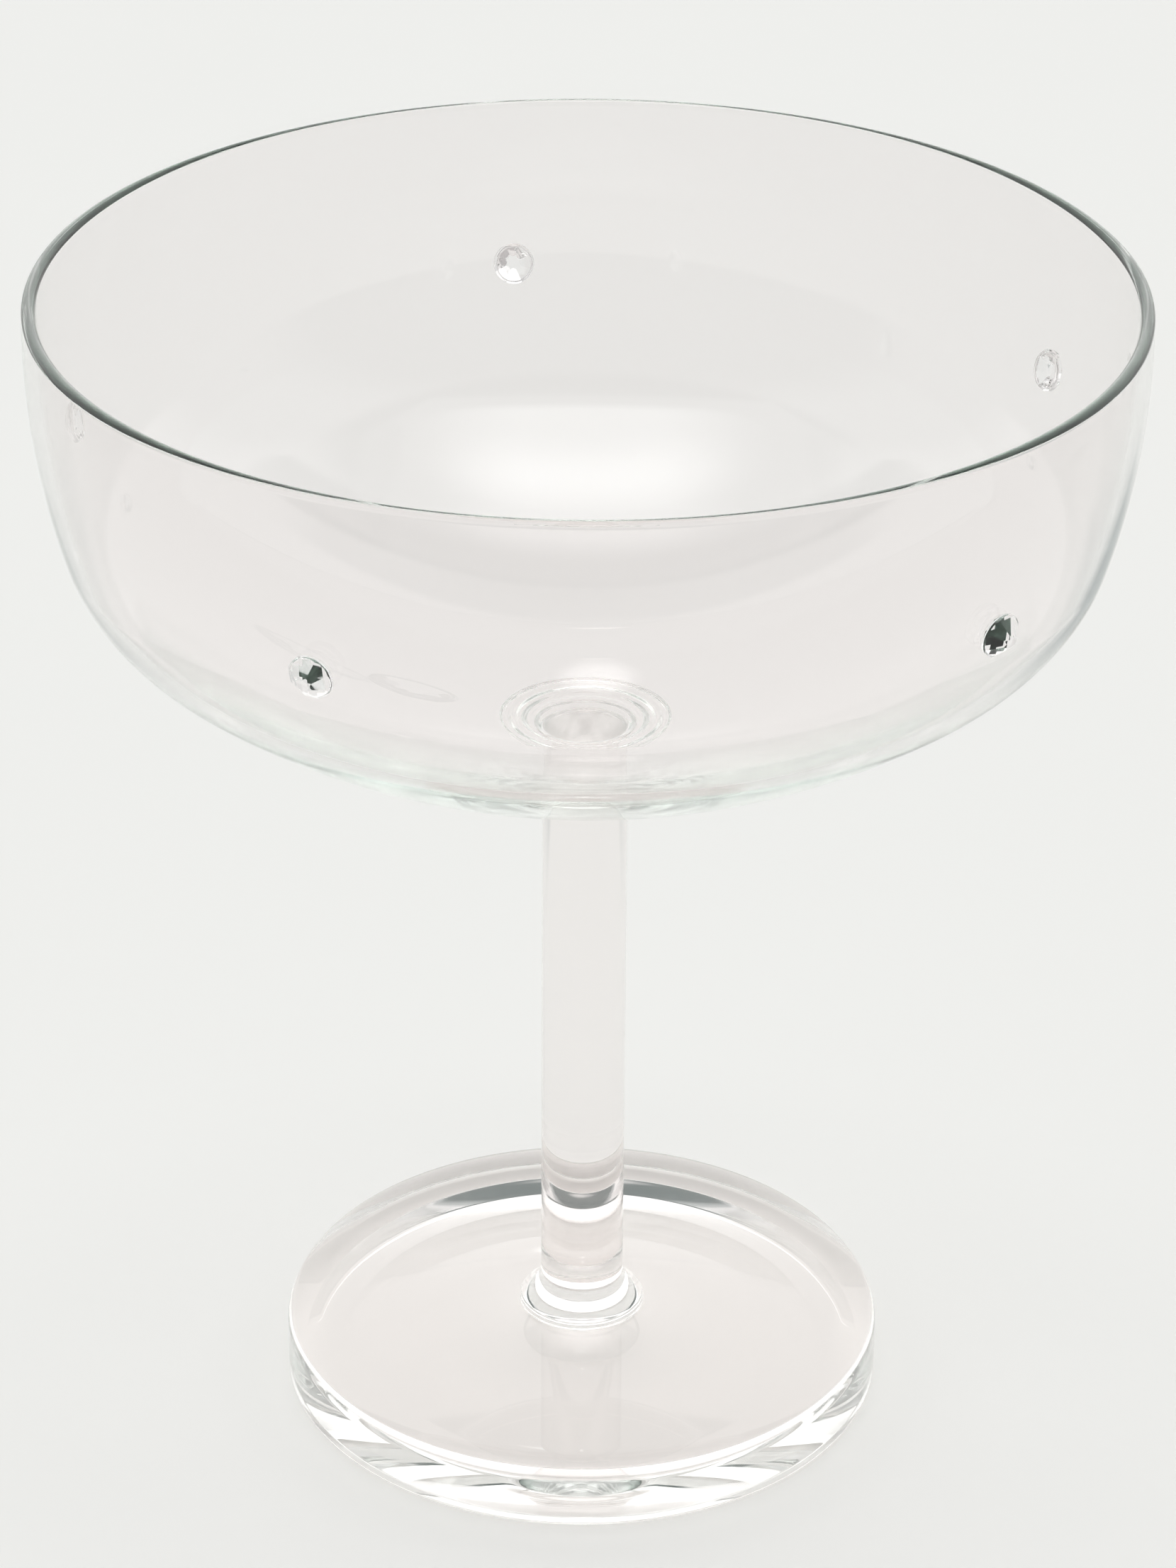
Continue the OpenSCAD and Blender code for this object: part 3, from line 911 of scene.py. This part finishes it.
def glue_spot():
    """One spot of glue: flat under the crystal, drawn in at its edge, and laid on the curved wall."""
    c = tell("coupe_crystals")
    _, _, _, round_r, down_r = seat()
    sink = 0.00002
    top = c.glue_thickness + sink
    outer = c.glue_diameter / 2
    steps = 48
    # Loops as (size, rise): out along the wall side, up the edge, and in again under the crystal
    sizes = [(size, 0.0) for size in (0.2, 0.4, 0.6, 0.8, 0.97, 0.985, 1.0)]
    sizes += [(0.985, 0.12), (0.965, 0.35), (0.96, 0.6), (0.965, 0.85), (0.98, 1.0)]
    sizes += [(size, 1.0) for size in (0.972, 0.96, 0.7, 0.4)]

    def wall(x, y):
        return -x * x / (2 * down_r) - y * y / (2 * round_r) - sink

    spot = bmesh.new()
    under = spot.verts.new((0.0, 0.0, wall(0.0, 0.0)))
    over = spot.verts.new((0.0, 0.0, top))
    loops = []
    for size, rise in sizes:
        loop = []
        for turn in (2 * math.pi * k / steps for k in range(steps)):
            x, y = outer * size * math.cos(turn), outer * size * math.sin(turn)
            base = wall(x, y)
            loop.append(spot.verts.new((x, y, base + rise * (top - base))))
        loops.append(loop)
    for k in range(steps):
        n = (k + 1) % steps
        spot.faces.new((under, loops[0][n], loops[0][k]))
        spot.faces.new((over, loops[-1][k], loops[-1][n]))
        for a, b in zip(loops, loops[1:]):
            spot.faces.new((a[k], a[n], b[n], b[k]))
    bmesh.ops.recalc_face_normals(spot, faces=spot.faces[:])
    for face in spot.faces:
        face.smooth = True
    mesh = bpy.data.meshes.new("glue spot")
    spot.to_mesh(mesh)
    spot.free()
    nearly_flat = 0.8
    return with_seam(mesh, [abs(face.normal.z) > nearly_flat for face in mesh.polygons])


def ring_piece(name, mesh, finish, nodes):
    """Stands a small piece on the wall in a ring, in place of its CAD nodes."""
    c = tell("coupe_crystals")
    radius, height, tilt, _, _ = seat()
    piece = made_plain(name, mesh, ring_tree(), {
        "Count": c.count, "Turn": c.turn, "Radius": radius, "Height": height, "Tilt": tilt, "Finish": finish,
        "Seam": fused_seam(),
    })
    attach(piece, "root")
    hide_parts(*nodes)
    return piece


class COUPE_OT_glue(bpy.types.Operator):
    """Put a spot of glue under each crystal"""

    bl_idname = "coupe.glue"
    bl_label = "Glue"

    def execute(self, context):
        nodes = sorted(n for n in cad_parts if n.startswith("crystal_glue_"))
        ring_piece("crystal_glue_spots", glue_spot(), clear_glue(), nodes)
        return {"FINISHED"}


class COUPE_OT_crystals(bpy.types.Operator):
    """Set the cut crystals round the bowl"""

    bl_idname = "coupe.crystals"
    bl_label = "Crystals"

    def execute(self, context):
        nodes = sorted(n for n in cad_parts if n.startswith("crystal_") and "glue" not in n)
        ring_piece("cut_crystals", cut_stone(), cut_crystal(), nodes)
        return {"FINISHED"}


def flat_face(name, half_side, height, material):
    """A level square, as a new object in the scene."""
    mesh = bpy.data.meshes.new(name)
    corners = [(x * half_side, y * half_side, height) for x, y in ((-1, -1), (1, -1), (1, 1), (-1, 1))]
    mesh.from_pydata(corners, [], [(0, 1, 2, 3)])
    mesh.materials.append(material)
    face = bpy.data.objects.new(name, mesh)
    bpy.context.scene.collection.objects.link(face)
    return face


def added_shaders(tree, shaders):
    """The sum of several shaders."""
    total = shaders[0]
    for shader in shaders[1:]:
        both = tree.nodes.new("ShaderNodeAddShader")
        tree.links.new(total, both.inputs[0])
        tree.links.new(shader, both.inputs[1])
        total = both.outputs["Shader"]
    return total


def background(tree, strength, tone=None):
    """A part of the studio's light."""
    node = tree.nodes.new("ShaderNodeBackground")
    if tone:
        node.inputs["Color"].default_value = (*tone, 1.0)
    tree.links.new(strength, node.inputs["Strength"])
    return node.outputs["Background"]


def pale_studio(look):
    """The room round the glass, by direction."""
    studio = bpy.data.worlds.new("studio")
    studio.use_nodes = True
    tree = studio.node_tree
    tree.nodes.clear()
    way = tree.nodes.new("ShaderNodeSeparateXYZ")
    tree.links.new(tree.nodes.new("ShaderNodeTexCoord").outputs["Generated"], way.inputs["Vector"])
    x, y, z = (way.outputs[k] for k in "XYZ")
    up = sum_node(tree, "MAXIMUM", z, LOWEST_RISE)
    across, along = sum_node(tree, "DIVIDE", x, up), sum_node(tree, "DIVIDE", y, up)

    def times(a, b):
        return sum_node(tree, "MULTIPLY", a, b)

    front = spread_node(tree, y, *FRONT_FADE, look.front, 1.0)
    ceiling = spread_node(tree, z, *CEILING_FADE, 1.0, look.ceiling)
    back = spread_node(tree, y, *BACK_FADE, 1.0, look.back)
    gap = patch(tree, across, along, **GAP)
    dim_gap = spread_node(tree, gap, 0.0, 1.0, 1.0, look.gap, smooth=False)
    pale = times(times(times(front, ceiling), back), dim_gap)
    softbox = patch(tree, across, along, **SOFTBOX)
    wash = patch(tree, across, along, **WASH)
    light = sum_node(tree, "ADD", times(softbox, look.softbox), times(wash, look.wash))

    # The camera sees the plain pale studio; its lights and dim parts show in the glass alone
    path = tree.nodes.new("ShaderNodeLightPath")
    unseen = sum_node(tree, "SUBTRACT", 1.0, path.outputs["Is Camera Ray"])
    dim = times(unseen, sum_node(tree, "SUBTRACT", 1.0, pale))
    around = background(tree, sum_node(tree, "SUBTRACT", 1.0, dim), look.studio)
    lit = background(tree, times(unseen, light))
    cool = background(tree, times(unseen, times(gap, look.cool)), COOL_LIGHT)
    out = tree.nodes.new("ShaderNodeOutputWorld")
    tree.links.new(added_shaders(tree, [around, lit, cool]), out.inputs["Surface"])
    return studio


def photo_camera():
    """A camera that stands where the picture was taken from."""
    lens = bpy.data.cameras.new("camera")
    lens.sensor_width = 36.0
    lens.lens = FOCAL_PIXELS / PHOTO_SIZE[1] * lens.sensor_width
    lens.clip_start, lens.clip_end = 0.01, 50.0
    pitch, roll, yaw = (math.radians(turn) for turn in (CAMERA_PITCH, CAMERA_ROLL, CAMERA_YAW))
    ahead = Vector((math.sin(yaw) * math.cos(pitch), math.cos(yaw) * math.cos(pitch), -math.sin(pitch)))
    level = Vector((math.cos(yaw), -math.sin(yaw), 0.0))
    upright = level.cross(ahead)
    right = math.cos(roll) * level + math.sin(roll) * upright
    up = math.cos(roll) * upright - math.sin(roll) * level
    camera = bpy.data.objects.new("camera", lens)
    turned = Matrix((right, up, -ahead)).transposed().to_4x4()
    camera.matrix_world = Matrix.Translation(CAMERA_PLACE) @ turned
    return camera


class COUPE_OT_stage(bpy.types.Operator):
    """Lay the pale floor, hang the softbox and place the camera"""

    bl_idname = "coupe.stage"
    bl_label = "Stage"

    def execute(self, context):
        scene = context.scene
        look = tell("coupe_finish")
        scene.view_settings.view_transform = "Standard"

        floor = flat_face("floor", FLOOR_REACH, FLOOR_HEIGHT, floor_paper())

        scene.world = pale_studio(look)

        small = flat_face("back light", 1.0, 0.0, soft_light("back light", look.back_light))
        place, aim = Vector(BACK_LIGHT_PLACE), Vector(BACK_LIGHT_AIM)
        small.matrix_world = Matrix.LocRotScale(
            place, (place - aim).to_track_quat("Z", "Y"), Vector(BACK_LIGHT_SIZE))
        small.visible_camera = False

        camera = photo_camera()
        scene.collection.objects.link(camera)
        scene.camera = camera

        scene.cycles.max_bounces = BOUNCES
        scene.cycles.glossy_bounces = BOUNCES
        scene.cycles.transmission_bounces = BOUNCES
        scene.cycles.transparent_max_bounces = CLEAR_BOUNCES
        scene.cycles.blur_glossy = 0.0
        return {"FINISHED"}


class COUPE_PT_panel(bpy.types.Panel):
    """Sizes, colours and pieces of the coupe glass"""

    bl_idname = "COUPE_PT_panel"
    bl_label = "Coupe Glass"
    bl_space_type = "VIEW_3D"
    bl_region_type = "UI"
    bl_category = "Coupe"

    def draw(self, context):
        for group in ("coupe_turned", "coupe_crystals", "coupe_finish"):
            settings = getattr(context.scene, group)
            box = self.layout.box()
            for name in settings.__annotations__:
                box.prop(settings, name)
        for operator in OPERATORS:
            self.layout.operator(operator.bl_idname)


OPERATORS = (
    COUPE_OT_stage, COUPE_OT_bowl, COUPE_OT_collars, COUPE_OT_stem, COUPE_OT_foot, COUPE_OT_glue,
    COUPE_OT_crystals,
)
SETTINGS = (
    ("coupe_turned", TurnedSizes), ("coupe_crystals", CrystalSizes), ("coupe_finish", GlassFinish),
)


def register():
    for name, group in SETTINGS:
        bpy.utils.register_class(group)
        setattr(bpy.types.Scene, name, bpy.props.PointerProperty(type=group))
    for operator in OPERATORS:
        bpy.utils.register_class(operator)
    bpy.utils.register_class(COUPE_PT_panel)


def unregister():
    bpy.utils.unregister_class(COUPE_PT_panel)
    for operator in reversed(OPERATORS):
        bpy.utils.unregister_class(operator)
    for name, group in reversed(SETTINGS):
        delattr(bpy.types.Scene, name)
        bpy.utils.unregister_class(group)


def main():
    register()
    bpy.ops.coupe.stage()
    bpy.ops.coupe.bowl()
    bpy.ops.coupe.collars()
    bpy.ops.coupe.stem()
    bpy.ops.coupe.foot()
    bpy.ops.coupe.glue()
    bpy.ops.coupe.crystals()


if __name__ == "__main__":
    main()
